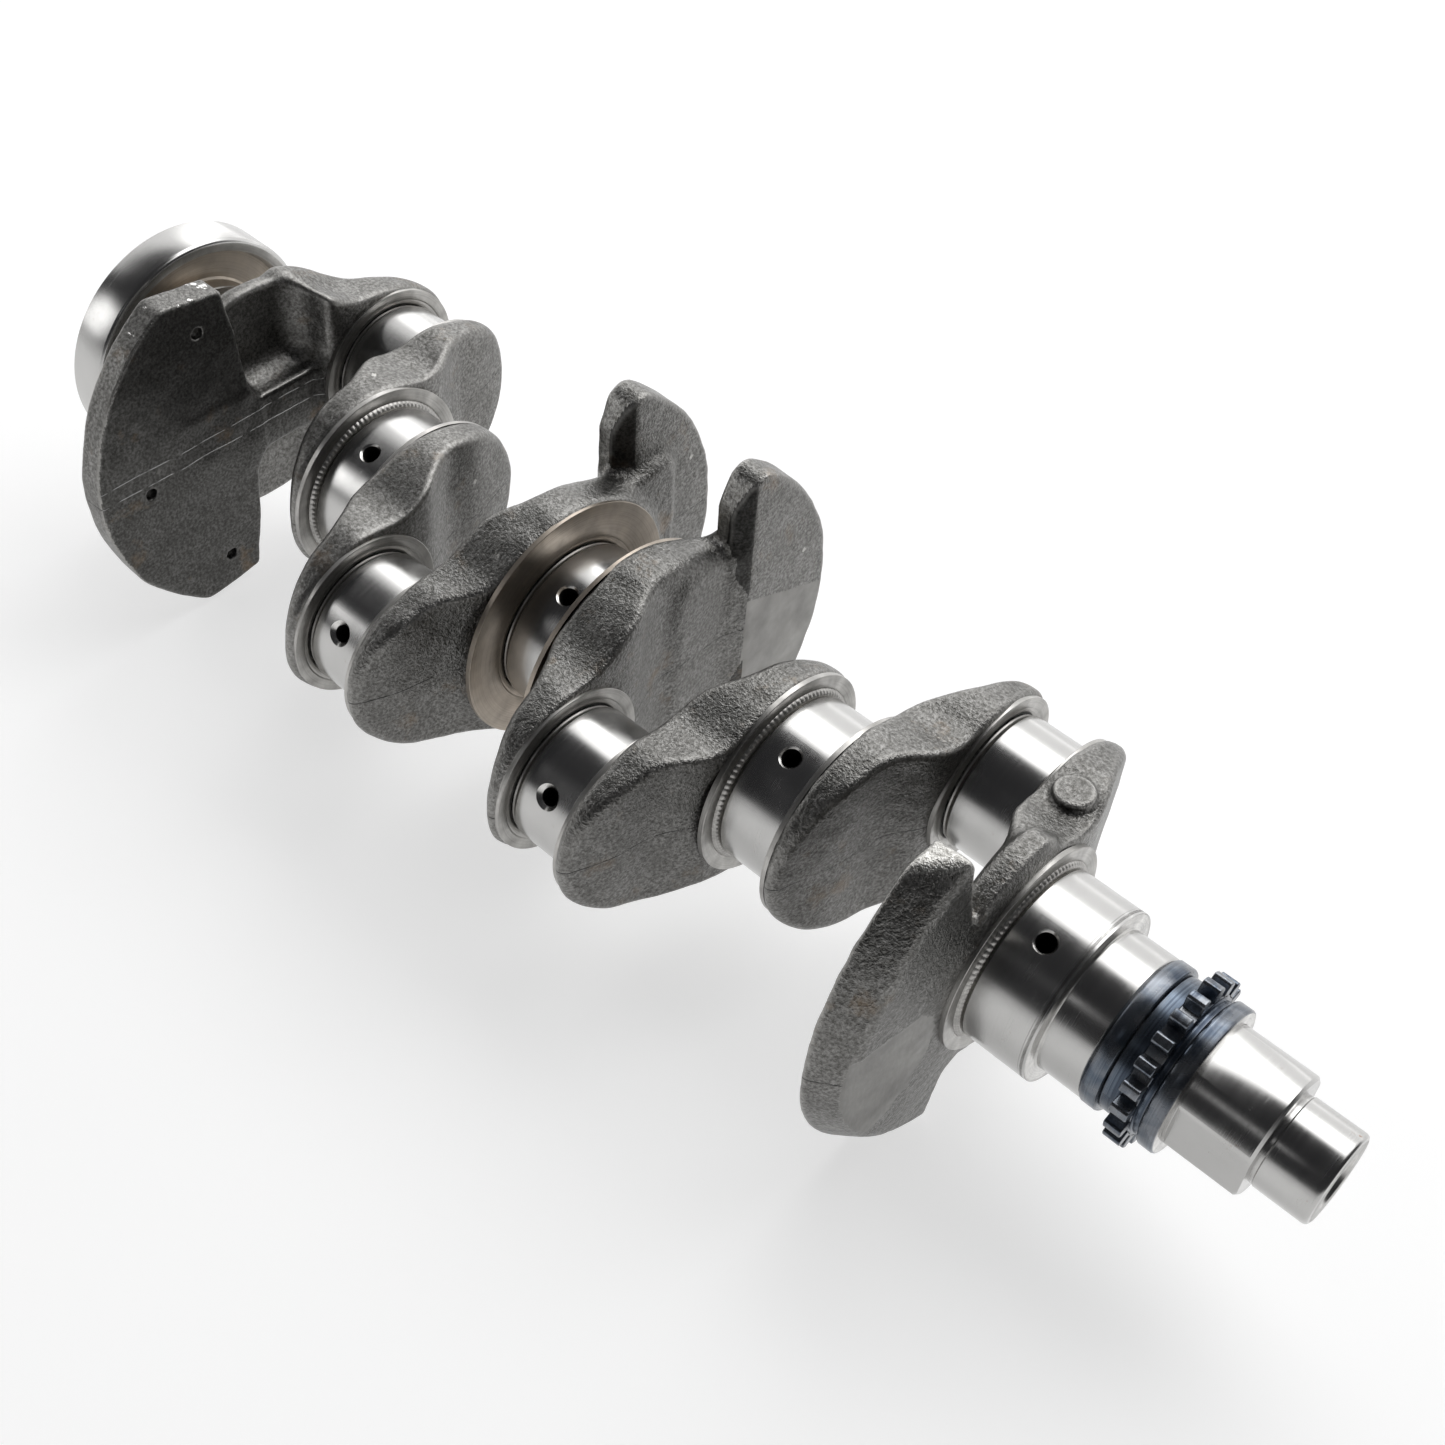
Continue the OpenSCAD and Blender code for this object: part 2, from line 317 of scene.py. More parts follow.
def ground_patch():
    """A patch dressed with a hand grinder: smooth, with faint straight scratches."""
    paint = Paint("balance_ground_steel")
    stretch = (5000, 300, 300)
    at = paint.join(*(paint.math("MULTIPLY", a, b) for a, b in zip(paint.split(paint.place), stretch)))
    scratches = paint.noise(1.0, 2.0, 0.6, at)
    cloud = paint.noise(90, 3.0, 0.5)
    shade = paint.mix(paint.level(cloud, 0.3, 0.7), (0.19, 0.186, 0.178), (0.29, 0.285, 0.272))
    paint.set(
        Base_Color=shade,
        Metallic=0.9,
        Roughness=paint.level(scratches, 0.2, 0.8, 0.34, 0.5),
        Normal=paint.bump(scratches, 0.00003),
    )
    return paint.mat


def scuffed_steel():
    """Forged skin with bright knocks where the part was handled."""
    paint = Paint("scuffed_forged_steel")
    height, _ = grain(paint)
    knock = paint.level(paint.noise(230, 3.0, 0.55), 0.6, 0.63)
    shade = paint.ramp(height, (0.38, (0.1, 0.098, 0.092)), (0.62, (0.26, 0.255, 0.245)))
    shade = paint.mix(knock, shade, (0.82, 0.81, 0.79))
    depth = paint.math("MULTIPLY", height, paint.math("SUBTRACT", 1.0, paint.math("MULTIPLY", knock, 0.9)))
    paint.set(
        Base_Color=shade,
        Metallic=0.9,
        Roughness=paint.level(knock, 0.0, 1.0, 0.45, 0.24),
        Normal=paint.bump(depth, 0.0003),
    )
    return paint.mat


def black_oxide():
    """Blue-black oxide over turned steel: glossy, with fine crisp lines and worn edges."""
    paint = Paint("black_oxide_steel")
    lines = turned_lines(paint, 3200, 0.3)
    bands = turned_lines(paint, 900, 0.2)
    cloud = paint.noise(160, 3.0, 0.5)
    shade = paint.mix(paint.level(bands, 0.35, 0.65), (0.04, 0.052, 0.075), (0.11, 0.135, 0.17))
    shade = paint.mix(paint.level(lines, 0.55, 0.7, 0.0, 0.6), shade, (0.2, 0.225, 0.26))
    edge = paint.add("ShaderNodeNewGeometry").outputs["Pointiness"]
    worn = paint.math("MULTIPLY", paint.level(edge, 0.52, 0.6), paint.level(cloud, 0.35, 0.6))
    shade = paint.mix(worn, shade, (0.42, 0.42, 0.42))
    paint.set(
        Base_Color=shade,
        Metallic=0.9,
        Roughness=paint.level(cloud, 0.3, 0.7, 0.22, 0.3),
        Normal=paint.bump(lines, 0.00001),
    )
    return paint.mat


def dark_bore():
    """The drilled wall of a hole, coloured nearly black."""
    paint = Paint("near_black_bore_steel")
    lines = turned_lines(paint, 1500)
    shade = paint.mix(lines, (0.01, 0.01, 0.01), (0.05, 0.048, 0.045))
    paint.set(Base_Color=shade, Metallic=0.6, Roughness=0.55, Normal=paint.bump(lines, 0.00003))
    return paint.mat


FORGED = forged_steel("forged_steel")
FORGED_SMOOTH = forged_steel("forged_steel_fine", depth=0.00018, tone=0.88, rough=0.4)
# A darker copy of the forged steel: painted shade on web 8's flat front face and in its screw holes.
FORGED_PAINTED_SHADE_FACE = forged_steel(
    "forged_steel_painted_shade_face", depth=0.00006, tone=0.45, rough=0.4, line_tone=0.5, lines=(0.0, 0.0062), edge_wear_and_highlight=0.15
)
# A brighter copy of the forged steel: painted light on the horn ends of webs 4 and 5 and the tips of web 1.
FORGED_PAINTED_LIGHT = forged_steel("forged_steel_painted_light", depth=0.0004, tone=1.9)
# A darker copy of the forged steel: painted shade on the chamfers beside the horns of webs 4 and 5.
FORGED_PAINTED_SHADE_CHAMFER = forged_steel("forged_steel_painted_shade_chamfer", depth=0.0002, tone=0.35, rough=0.45)
SCUFFED = scuffed_steel()
PATCH = ground_patch()
GROUND = ground_steel()
TURNED = turned_steel("turned_steel")
BROWN = turned_steel("thrust_face_steel", tint=(0.56, 0.52, 0.46), rough=0.3, brown=0.45)
BRIGHT = turned_steel("bright_turned_steel", tint=(0.72, 0.71, 0.69), rough=0.2)
OXIDE = black_oxide()
BORE = dark_bore()

# ------------------------------------------------------------------- meshes


def make_piece(name, points, faces, materials, node=None, body=CRANK, at=CENTRE,
               face_material=None, sharp_deg=32):
    """A mesh piece from points in millimetres round its own origin."""
    mesh = bpy.data.meshes.new(name)
    points = np.asarray(points, float) * MM
    mesh.from_pydata(points.tolist(), [], faces if isinstance(faces, list) else faces.tolist())
    for material in materials:
        mesh.materials.append(material)
    if face_material is not None:
        mesh.polygons.foreach_set("material_index", np.asarray(face_material, np.int32))
    mesh.polygons.foreach_set("use_smooth", np.ones(len(mesh.polygons), bool))
    mesh.update()
    mesh.validate()
    if sharp_deg:
        mesh.set_sharp_from_angle(angle=math.radians(sharp_deg))
    piece = bpy.data.objects.new(name, mesh)
    bpy.context.scene.collection.objects.link(piece)
    piece.location = Vector(at) * MM
    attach(piece, body)
    if node:
        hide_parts(node)
    return piece


def lathe_grid(profile, angles):
    """Points and quads of a profile of (x, radius) turned round the X axis."""
    profile = np.asarray(profile, float)
    count, turns = len(profile), len(angles)
    x = np.repeat(profile[:, 0], turns)
    radius = np.repeat(profile[:, 1], turns)
    angle = np.tile(angles, count)
    points = np.stack([x, radius * np.cos(angle), radius * np.sin(angle)], 1)
    row = np.arange(count - 1)[:, None] * turns
    here = np.arange(turns)[None, :]
    there = (here + 1) % turns
    quads = np.stack([row + here, row + there, row + turns + there, row + turns + here], 2)
    return points, quads.reshape(-1, 4)


def even_angles(count):
    """Angles that divide a full turn evenly, from 0."""
    return np.arange(count) * (2 * math.pi / count)


def with_radial_hole(profile, angles, first, last, side_angle, hole):
    """A turned surface whose rows first..last lie on one cylinder and carry a countersunk hole.

    Returns points, faces and the kind of each face: 0 outside, 1 countersink, 2 drilling.
    """
    points, quads = lathe_grid(profile, angles)
    profile = np.asarray(profile, float)
    turns = len(angles)
    radius = profile[first, 1]
    reach = hole["mouth_r"] + HOLE_MARGIN
    step = 2 * math.pi / turns
    start = int(round((side_angle - reach / radius) / step))
    stop = int(round((side_angle + reach / radius) / step))
    mid_angle = (start + stop) / 2 * step
    mid_x = (profile[first, 0] + profile[last, 0]) / 2
    row = np.repeat(np.arange(len(profile) - 1), turns)
    column = np.tile(np.arange(turns), len(profile) - 1)
    inside_row = (row >= first) & (row < last)
    inside_column = (column - start) % turns < stop - start
    quads = quads[~(inside_row & inside_column)]
    rim = [(r, start) for r in range(first, last)]
    rim += [(last, c) for c in range(start, stop)]
    rim += [(r, stop) for r in range(last, first, -1)]
    rim += [(first, c) for c in range(stop, start, -1)]
    rim_index = [r * turns + c % turns for r, c in rim]
    flat = np.array([[profile[r, 0] - mid_x, (c * step - mid_angle) * radius] for r, c in rim])
    heading = np.arctan2(flat[:, 1], flat[:, 0])
    circle = np.stack([np.cos(heading), np.sin(heading)], 1)
    added, rings = [], [rim_index]
    base = len(points)

    def on_surface(uv):
        turn = mid_angle + uv[:, 1] / radius
        return np.stack([mid_x + uv[:, 0], radius * np.cos(turn), radius * np.sin(turn)], 1)

    def push(ring_points):
        first_index = base + sum(map(len, added))
        rings.append(list(range(first_index, first_index + len(ring_points))))
        added.append(ring_points)

    for share in (0.3, 0.6, 0.85, 1.0):
        push(on_surface(flat * (1 - share) + circle * hole["mouth_r"] * share))
    inward = -np.array([0, math.cos(mid_angle), math.sin(mid_angle)])
    lip = hole["mouth_r"] - hole["r"]
    push(on_surface(circle * (hole["r"] + lip * 0.5)) + inward * lip * 0.45)
    for depth in (lip, lip + DARK_BELOW_LIP, HOLE_DEPTH):
        push(on_surface(circle * hole["r"]) + inward * depth)
    push(np.repeat(added[-1].mean(0)[None, :], len(circle), 0))
    strips = []
    for outer, inner in zip(rings[:-1], rings[1:]):
        for k in range(len(outer)):
            nxt = (k + 1) % len(outer)
            strips.append([outer[k], outer[nxt], inner[nxt], inner[k]])
    count = len(rim_index)
    kind = np.zeros(len(quads) + len(strips), np.int32)
    kind[len(quads) + 4 * count:len(quads) + 6 * count] = 1
    kind[len(quads) + 6 * count:] = 2
    return np.vstack([points, *added]), np.vstack([quads, np.array(strips)]), kind


def journal(node, at, radius, hole=None, hole_angle=0.0):
    """A ground journal between its two rolled fillet grooves."""
    half = JOURNAL_W / 2
    groove = [
        (half, radius - GROOVE_DEPTH),
        (half - 0.5, radius - GROOVE_DEPTH - 0.15),
        (half - 1.1, radius - GROOVE_DEPTH + 0.1),
        (half - GROOVE_W, radius - 0.25),
        (half - GROOVE_W - 0.2, radius),
    ]
    reach = hole["mouth_r"] + HOLE_MARGIN if hole else 6.0
    inner = np.linspace(-reach, reach, 19)
    profile = [(-x, r) for x, r in groove] + [(x, radius) for x in inner] + groove[::-1]
    angles = even_angles(JOURNAL_SEGMENTS)
    if hole:
        first, last = len(groove), len(groove) + len(inner) - 1
        points, quads, kind = with_radial_hole(profile, angles, first, last, hole_angle, hole)
    else:
        points, quads = lathe_grid(profile, angles)
        kind = np.zeros(len(quads), np.int32)
    groove_faces = np.abs(points[quads][:, :, 0]).mean(1) > half - GROOVE_W - 0.1
    kind[groove_faces & (kind == 0)] = 3
    return make_piece(node + "_surface", points, quads, [GROUND, BRIGHT, BORE, TURNED], node,
                      at=at, face_material=kind)


def turned(name, profile, materials, at=CENTRE, node=None, body=CRANK, bands=()):
    """A turned piece. bands lists (row, material index) pairs: that material starts at that row."""
    points, quads = lathe_grid(profile, even_angles(RING_SEGMENTS))
    kind = np.zeros(len(quads), np.int32)
    for row, index in bands:
        kind[row * RING_SEGMENTS:] = index
    return make_piece(name, points, quads, materials, node, body, at, kind)


# ------------------------------------------------------- forged webs (fields)


def joined(a, b, r):
    """Union of two distance fields with a fillet of radius r."""
    u = np.maximum(r - a, 0)
    v = np.maximum(r - b, 0)
    return np.maximum(r, np.minimum(a, b)) - np.sqrt(u * u + v * v)


def common(a, b, r):
    """Intersection of two distance fields with the edge rounded to radius r."""
    u = np.maximum(r + a, 0)
    v = np.maximum(r + b, 0)
    return np.minimum(-r, np.maximum(a, b)) + np.sqrt(u * u + v * v)


def slab(value, low, high):
    """Distance from the space between two parallel planes."""
    return np.abs(value - (low + high) / 2) - (high - low) / 2


def bar(u, v, u_span, v_span, r=0.0):
    """Rounded rectangle in the plane of u and v."""
    a = slab(u, *u_span) + r
    b = slab(v, *v_span) + r
    outside = np.sqrt(np.maximum(a, 0) ** 2 + np.maximum(b, 0) ** 2)
    return outside + np.minimum(np.maximum(a, b), 0) - r


def slope(u, v, start, end):
    """Signed distance to the line from start to end; positive on its left."""
    du, dv = end[0] - start[0], end[1] - start[1]
    return (dv * -(u - start[0]) + du * (v - start[1])) / math.hypot(du, dv)


def convex(u, v, corners, r):
    """Convex outline with corners listed clockwise, its corners rounded to r."""
    field = None
    for start, end in zip(corners, corners[1:] + corners[:1]):
        side = slope(u, v, start, end)
        field = side if field is None else common(field, side, r)
    return field


# A web's own coordinates: t from the face at the main journal to the face at the pin, y towards
# the pin, z as in the world.

PLAIN_HOLLOW = 2.4
PIN_HOLLOW = 2.8
HOLLOW_WIDTH = 11


def arm_field(t, y, z, lobe_r, pin_line, hollow):
    """The forged arm: a lobe round each journal, joined by a waist, with both outer faces sloped.

    pin_line holds the (y, t) ends of the slope on the pin side. hollow is how deep the slope on
    the main side is dished.
    """
    waist_half, skin, edge_r, fillet_r = 25.5, 0.7, 2.6, 9
    lobe = np.hypot(y, z) - lobe_r
    pin = np.hypot(y - THROW, z) - PIN_LOBE_R
    waist = bar(y, z, (2, THROW), (-waist_half, waist_half), 4)
    outline = joined(joined(lobe, waist, fillet_r), pin, fillet_r)
    main_slope = slope(t, y, (0, 25), (WEB_T - 5, 71))
    pin_slope = slope(y, t, *pin_line)
    main_hollow = hollow * np.exp(-((y - 43) / HOLLOW_WIDTH) ** 2)
    pin_hollow = PIN_HOLLOW * np.exp(-((y - 1) / HOLLOW_WIDTH) ** 2)
    solid = common(outline, slab(t, skin, WEB_T - skin), edge_r)
    solid = common(solid, main_slope + main_hollow, edge_r)
    return common(solid, pin_slope + pin_hollow, edge_r)


# Where the horns of webs 4 and 5 end, and a place well past the rim; both along a web's own y
HORN_Y = -30.5
PAST_RIM = -90


def inner_weight(t, y, z, arm, chamfer):
    """Counterweight of webs 4 and 5: a disc segment with blunt horns, chamfered on one side."""
    disc = np.hypot(y, z) - (SWEEP_R - 0.3)
    corners = [(HORN_Y, 48), (HORN_Y, -48), (-35, -58), (-43, -62), (PAST_RIM, -62), (PAST_RIM, 62),
               (-43, 62), (-35, 58)]
    outline = common(disc, convex(y, z, corners, 1.2), 3.0)
    blade = common(outline, slab(t, 8.5, 19.2), 1.6)
    blade = common(blade, slope(y, t, *chamfer), 0.7)
    hub = common(np.hypot(y, z) - 39, slab(t, 1.2, 12.0), 3.0)
    hub = common(hub, y - 5, 3.0)
    neck = common(bar(y, z, (-52, -8), (-33, 33), 6), slab(t, 4, 15), 3.0)
    return joined(joined(arm, joined(hub, neck, 6), 6), blade, 5)


def rear_weight(t, y, z, arm):
    """Counterweight of web 8: a broad flat fan with a bar that runs on to the pin arm."""
    disc = np.hypot(y, z) - (SWEEP_R - 0.2)
    corners = [(-18, 58), (-12.5, 22), (-11, 0), (-12.5, -22), (-18, -58), (-46, -62), (PAST_RIM, -62),
               (PAST_RIM, 62), (-46, 62)]
    outline = common(disc, convex(y, z, corners, 1.5), 1.5)
    blade = common(outline, slab(t, 8, 18), 1.3)
    middle_bar = common(bar(y, z, (-40, 30), (-11, 11), 3), slab(t, 3, 18), 2.0)
    hub = common(np.hypot(y, z) - 43.5, slab(t, 1, 6.5), 2.2)
    whole = joined(joined(arm, hub, 8), joined(blade, middle_bar, 8), 9)
    return common(whole, t - 18 - 0.9 * np.maximum(y - 13, 0), 1.0)


def front_weight(t, y, z, arm):
    """Counterweight of web 1: a face from the ring out to a ridge, then a band back to the rim."""
    radial = np.hypot(y, z)
    band = slope(t, radial, (4, 66), (15.5, SWEEP_R + 0.1))
    front = 1.4 + 0.09 * np.maximum(radial - 33, 0) - t
    corners = [(-29, 60.5), (-25, 30), (-20, -20), (-24, -64), (-42, -66), (PAST_RIM, -66), (PAST_RIM, 60.5)]
    outline = common(radial - SWEEP_R + 0.2, convex(y, z, corners, 2.5), 2.5)
    blade = common(outline, slab(t, 0.5, 16.4), 1.6)
    blade = common(blade, band, 1.2)
    hub = common(common(radial - 40.5, slab(t, 1, 11), 3.5), y - 13, 10.0)
    whole = joined(joined(arm, hub, 5), blade, 6)
    return common(whole, front, 1.6)


# Ends (y, t) of the chamfer beside the horns' end faces
CHAMFERS = {4: ((-36.5, 19.2), (HORN_Y, 15.0)), 5: ((HORN_Y, 12.7), (-36.5, 8.5))}
WEIGHTS = {
    1: front_weight,
    4: partial(inner_weight, chamfer=CHAMFERS[4]),
    5: partial(inner_weight, chamfer=CHAMFERS[5]),
    8: rear_weight,
}
LOBES = {4: THRUST_RING_R, 5: THRUST_RING_R, 8: REAR_LOBE_R}
HOLLOWS = {1: 0.0}
INNER_PIN_LINE = ((-41, 8), (17, WEB_T))
PIN_LINES = {4: INNER_PIN_LINE, 5: INNER_PIN_LINE, 8: ((14, 5.5), (21, WEB_T + 1))}
PLAIN_PIN_LINE = ((-34, 5), (18, WEB_T))
PAD_AT, PAD_R = (153, 31, 31.5), 6.0
SCREW_R = 2.1
SCREWS_AT = [polar(55, degrees) for degrees in (121.5, 184, 238.5)]
RECESS_DEPTH = 1.3
RECESS_MARGIN = 2.2


def web_frame(i):
    """Face with the main journal, direction towards the pin along X, and side of the pin."""
    low, high = span(f"web_{i}")
    side = 1 if PIN_AT[(i - 1) // 2][1] > 0 else -1
    return (high[0], -1, side) if i % 2 else (low[0], 1, side)


def uneven(points, seed, size, wave):
    """Soft random unevenness of a forging, from a few waves in random directions."""
    rng = np.random.default_rng(seed)
    total = 0
    for _ in range(9):
        way = rng.normal(size=3)
        way *= 2 * math.pi / (wave * rng.uniform(0.6, 1.6)) / np.linalg.norm(way)
        phase = rng.uniform(0, 2 * math.pi)
        total = total + np.sin(points[0] * way[0] + points[1] * way[1] + points[2] * way[2] + phase)
    return total * size / 3


def balance_plane(x, y, z):
    """Distance in front of the nearly flat face ground on the lower half of web 1's counterweight."""
    return x - 159.0 - 0.16 * (y + 64) - 0.0012 * (z + 14) ** 2


def balance_cut(x, y, z):
    """The steel that was ground away in front of that face."""
    return common(-balance_plane(x, y, z), np.maximum(y + 28, z - 10), 0.6)


# Each test below takes the centres and normals of a web's faces, in world millimetres, and picks
# the faces that carry another material.


def patch_1(centre, normal):
    """The ground face on web 1's counterweight."""
    x, y, z = centre.T
    return (np.abs(balance_plane(x, y, z)) < 0.45) & (y < -27) & (z < 10) & (normal[:, 0] > 0.8)


def patch_4(centre, normal):
    """The dressed lower part of the front face of web 4's counterweight."""
    x, y, z = centre.T
    return (normal[:, 0] > 0.93) & (y > 34.5) & (z < 12 - 0.4 * (y - 36)) & (x > 28)


def chamfer_face(i, centre, normal):
    """The chamfer beside the end faces of web i's horns, which gets a darker copy of the forged steel as
    painted shade; it narrows to a point further down.
    """
    x, y, z = centre.T
    face, step, side = web_frame(i)
    (y0, t0), (y1, t1) = CHAMFERS[i]
    off_plane = (x - face) * step - t0 - (t1 - t0) / (y1 - y0) * (y * side - y0)
    beside_end = (y > 30.3 + 0.5 * np.maximum(26 - np.abs(z), 0)) & (y < 36.6)
    return (np.abs(off_plane) < 1.2) & beside_end


def horn_end(centre, normal):
    """End face of a horn of webs 4 and 5, with the slope above it; these get a brighter copy of the forged
    steel as painted light.
    """
    x, y, z = centre.T
    return (y < 36.5) & (normal[:, 1] < -0.6) & (np.abs(z) > 30) & (np.abs(x) > 18)


def horn_cap_1(centre, normal):
    """Tips of web 1's counterweight, which get a brighter copy of the forged steel as painted light."""
    return (np.abs(centre[:, 2]) > 58.8) & (centre[:, 1] < -20) & (np.abs(normal[:, 2]) > 0.6)


def screw_distance(y, z):
    """Distance from the wall of the nearest of the three screw holes in web 8."""
    return np.minimum.reduce([np.hypot(y - at_y, z - at_z) - SCREW_R for at_y, at_z in SCREWS_AT])


def painted_shade_face_8(centre, normal):
    """The flat front face of web 8's counterweight, with the mouths of its screw holes; these get a darker
    copy of the forged steel as painted shade.
    """
    x, y, z = centre.T
    flat = (normal[:, 0] > 0.8) & (y < 16)
    return (flat | (screw_distance(y, z) < 0.8)) & (x > -149.5)


def scuffs_8(centre, normal):
    """The knocked upper end of web 8's counterweight."""
    return (centre[:, 2] > 54.5) & (centre[:, 1] < -10) & (normal[:, 2] > 0.4)


SMOOTH_WEBS = (6, 7, 8)
SPECIAL_FACES = {
    1: [(PATCH, patch_1), (FORGED_PAINTED_LIGHT, horn_cap_1)],
    4: [(PATCH, patch_4), (FORGED_PAINTED_LIGHT, horn_end), (FORGED_PAINTED_SHADE_CHAMFER, partial(chamfer_face, 4))],
    5: [(FORGED_PAINTED_LIGHT, horn_end), (FORGED_PAINTED_SHADE_CHAMFER, partial(chamfer_face, 5))],
    8: [(FORGED_PAINTED_SHADE_FACE, painted_shade_face_8), (SCUFFED, scuffs_8)],
}


def web_field(i, x, world_y, z):
    """Distance field of one web in millimetres round the crank's origin."""
    face, step, side = web_frame(i)
    t, y = (x - face) * step, world_y * side
    lobe_r = LOBES.get(i, MAIN_LOBE_R)
    field = arm_field(t, y, z, lobe_r, PIN_LINES.get(i, PLAIN_PIN_LINE), HOLLOWS.get(i, PLAIN_HOLLOW))
    if i in WEIGHTS:
        field = WEIGHTS[i](t, y, z, field)
    if i == 1:
        pad = common(np.hypot(x - PAD_AT[0], world_y - PAD_AT[1]) - PAD_R, slab(z, 10, PAD_AT[2]), 0.8)
        field = joined(field, pad, 2.5)
    field = field + uneven((x, world_y, z), i, 0.2, 26) + uneven((x, world_y, z), i + 20, 0.06, 7)
    if i == 1:
        field = common(field, -balance_cut(x, world_y, z), 0.4)
    field = common(field, slab(t, 0.45, WEB_T - 0.45), 0.8)
    for centre, r, depth in ((0, MAIN_R, t), (THROW, PIN_R, WEB_T - t)):
        recess = np.maximum(np.hypot(y - centre, z) - r - RECESS_MARGIN, depth - RECESS_DEPTH)
        field = np.maximum(field, -recess)
    if i == 8:
        field = np.maximum(field, -screw_distance(world_y, z))
    return field


def web(i):
    """One forged web as a mesh, its field sampled on a regular grid."""
    low, high = span(f"web_{i}")
    margin, reach = 4.0, 8.0
    pitch = 0.6
    axes = [np.arange(a - margin, b + margin, pitch, dtype=np.float32) for a, b in zip(low, high)]
    field = web_field(i, *np.meshgrid(*axes, indexing="ij", sparse=True))
    grid = openvdb.FloatGrid(reach)
    grid.copyFromArray(np.ascontiguousarray(np.clip(field, -reach, reach), dtype=np.float32))
    points, quads = grid.convertToQuads(isovalue=0.0)
    points = points * pitch + np.array([axis[0] for axis in axes])
    quads = quads.astype(int)
    corners = points[quads]
    centre = corners.mean(1)
    normal = np.cross(corners[:, 2] - corners[:, 0], corners[:, 3] - corners[:, 1])
    normal /= np.maximum(np.linalg.norm(normal, axis=1, keepdims=True), 1e-9)
    materials = [FORGED_SMOOTH if i in SMOOTH_WEBS else FORGED]
    kind = np.zeros(len(quads), np.int32)
    for material, test in SPECIAL_FACES.get(i, ()):
        materials.append(material)
        kind[test(centre, normal)] = len(materials) - 1
    make_piece(f"web_{i}_forging", points, quads, materials, f"web_{i}",
               face_material=kind, sharp_deg=0)


for number in range(1, 9):
    web(number)

# ---------------------------------------------------------- journals and pins

for number, x in enumerate(MAIN_X, 1):
    hole = MAIN_HOLE if number < 5 else None
    journal(f"main_journal_{number}", (x, 0, 0), MAIN_R, hole, math.radians(MAIN_HOLE_ANGLE))
for number, at in enumerate(PIN_AT, 1):
    turn = (0 if at[1] > 0 else 180) - PIN_HOLE_LEAD
    journal(f"crankpin_{number}", (at[0], at[1], 0), PIN_R, PIN_HOLE, math.radians(turn))


def face_ring(name, x, y, outward, outer_r, inner_r, material):
    """Machined ring round a journal on the face of a web; outward is +1 or -1 along X."""
    profile = [
        (-1.6, outer_r),
        (-0.12, outer_r),
        (0.0, outer_r - 0.15),
        (0.0, inner_r + 1.9),
        (-0.1, inner_r + 1.7),
        (-0.35, inner_r + 1.3),
        (-0.35, inner_r + 0.7),
        (-0.6, inner_r - 0.2),
        (-0.9, inner_r - 1.0),
    ]
    points = [(outward * a, r) for a, r in profile]
    if outward < 0:
        points = points[::-1]
    return turned(name, points, [material], (x, y, 0))


def bead_ring(name, x, outward):
    """Rolled fillet beside a main journal, where the rolling tool left a row of small beads."""
    angles = even_angles(BEADS * 8)
    profile = [(-0.5, MAIN_R + 1.9), (0.1, MAIN_R + 1.5), (0.6, MAIN_R + 1.0), (1.0, MAIN_R + 0.5),
               (1.15, MAIN_R - 0.1), (1.0, MAIN_R - 0.7)]
    points, quads = lathe_grid([(outward * a, r) for a, r in profile], angles)
    turn = np.tile(angles, len(profile))
    swell = np.repeat([0, 0.5, 1, 1, 0.5, 0], len(angles)) * BEAD_H * np.abs(np.sin(turn * BEADS / 2))
    radius = np.hypot(points[:, 1], points[:, 2])
    points[:, 1:] *= ((radius + swell - 0.1) / radius)[:, None]
    points[:, 0] += outward * (swell - 0.1)
    return make_piece(name, points, quads, [TURNED], at=(x, 0, 0))


def web_rings(i):
    """Rings on both faces of a web; webs 4 and 5 have the wide thrust faces of main journal 3."""
    face, step, side = web_frame(i)
    wide = i in (4, 5)
    main_r, skin = (THRUST_RING_R, BROWN) if wide else (MAIN_RING_R, TURNED)
    face_ring(f"web_{i}_main_ring", face, 0, -step, main_r, MAIN_R, skin)
    face_ring(f"web_{i}_pin_ring", face + step * WEB_T, side * THROW, step, PIN_RING_R, PIN_R, TURNED)
    if i % 2 and not wide:
        bead_ring(f"main_journal_{(i + 1) // 2}_rolled_fillet", face, -step)


for number in range(1, 9):
    web_rings(number)

# ------------------------------------------------------------- flange and nose


def drilled_face(name, x, outward, outer_r, holes):
    """Flat end face with round holes; each is (y, z, radius, depth) and gets its wall and bottom."""
    hole_segments = 48
    rim, edges = [], []
    for y, z, r, count in [(0, 0, outer_r, 160)] + [(y, z, r, hole_segments) for y, z, r, _ in holes]:
        base = len(rim)
        rim += [Vector((y + r * math.cos(a), z + r * math.sin(a))) for a in even_angles(count)]
        edges += [(base + k, base + (k + 1) % count) for k in range(count)]
    flat = delaunay_2d_cdt(rim, edges, [], 1, 1e-6)
    points = [(x, p[0], p[1]) for p in flat[0]]
    faces, kind = [], []
    for triangle in flat[2]:
        y, z = (sum(flat[0][k][axis] for k in triangle) / 3 for axis in (0, 1))
        if all(math.hypot(y - hy, z - hz) > r * 0.995 for hy, hz, r, _ in holes):
            faces.append(list(triangle) if outward > 0 else list(triangle)[::-1])
            kind.append(0)
    for hy, hz, r, depth in holes:
        base, count = len(points), hole_segments
        for level, ring_r in ((0, r), (depth, r), (depth, 0.05)):
            points += [(x - outward * level, hy + ring_r * math.cos(a), hz + ring_r * math.sin(a))
                       for a in even_angles(count)]
        for row in (0, count):
            for k in range(count):
                a, b = base + row + k, base + row + (k + 1) % count
                quad = [a, b, b + count, a + count]
                faces.append(quad[::-1] if outward > 0 else quad)
                kind.append(1 if row else 0)
    return make_piece(name, points, faces, [TURNED, BORE], face_material=kind)


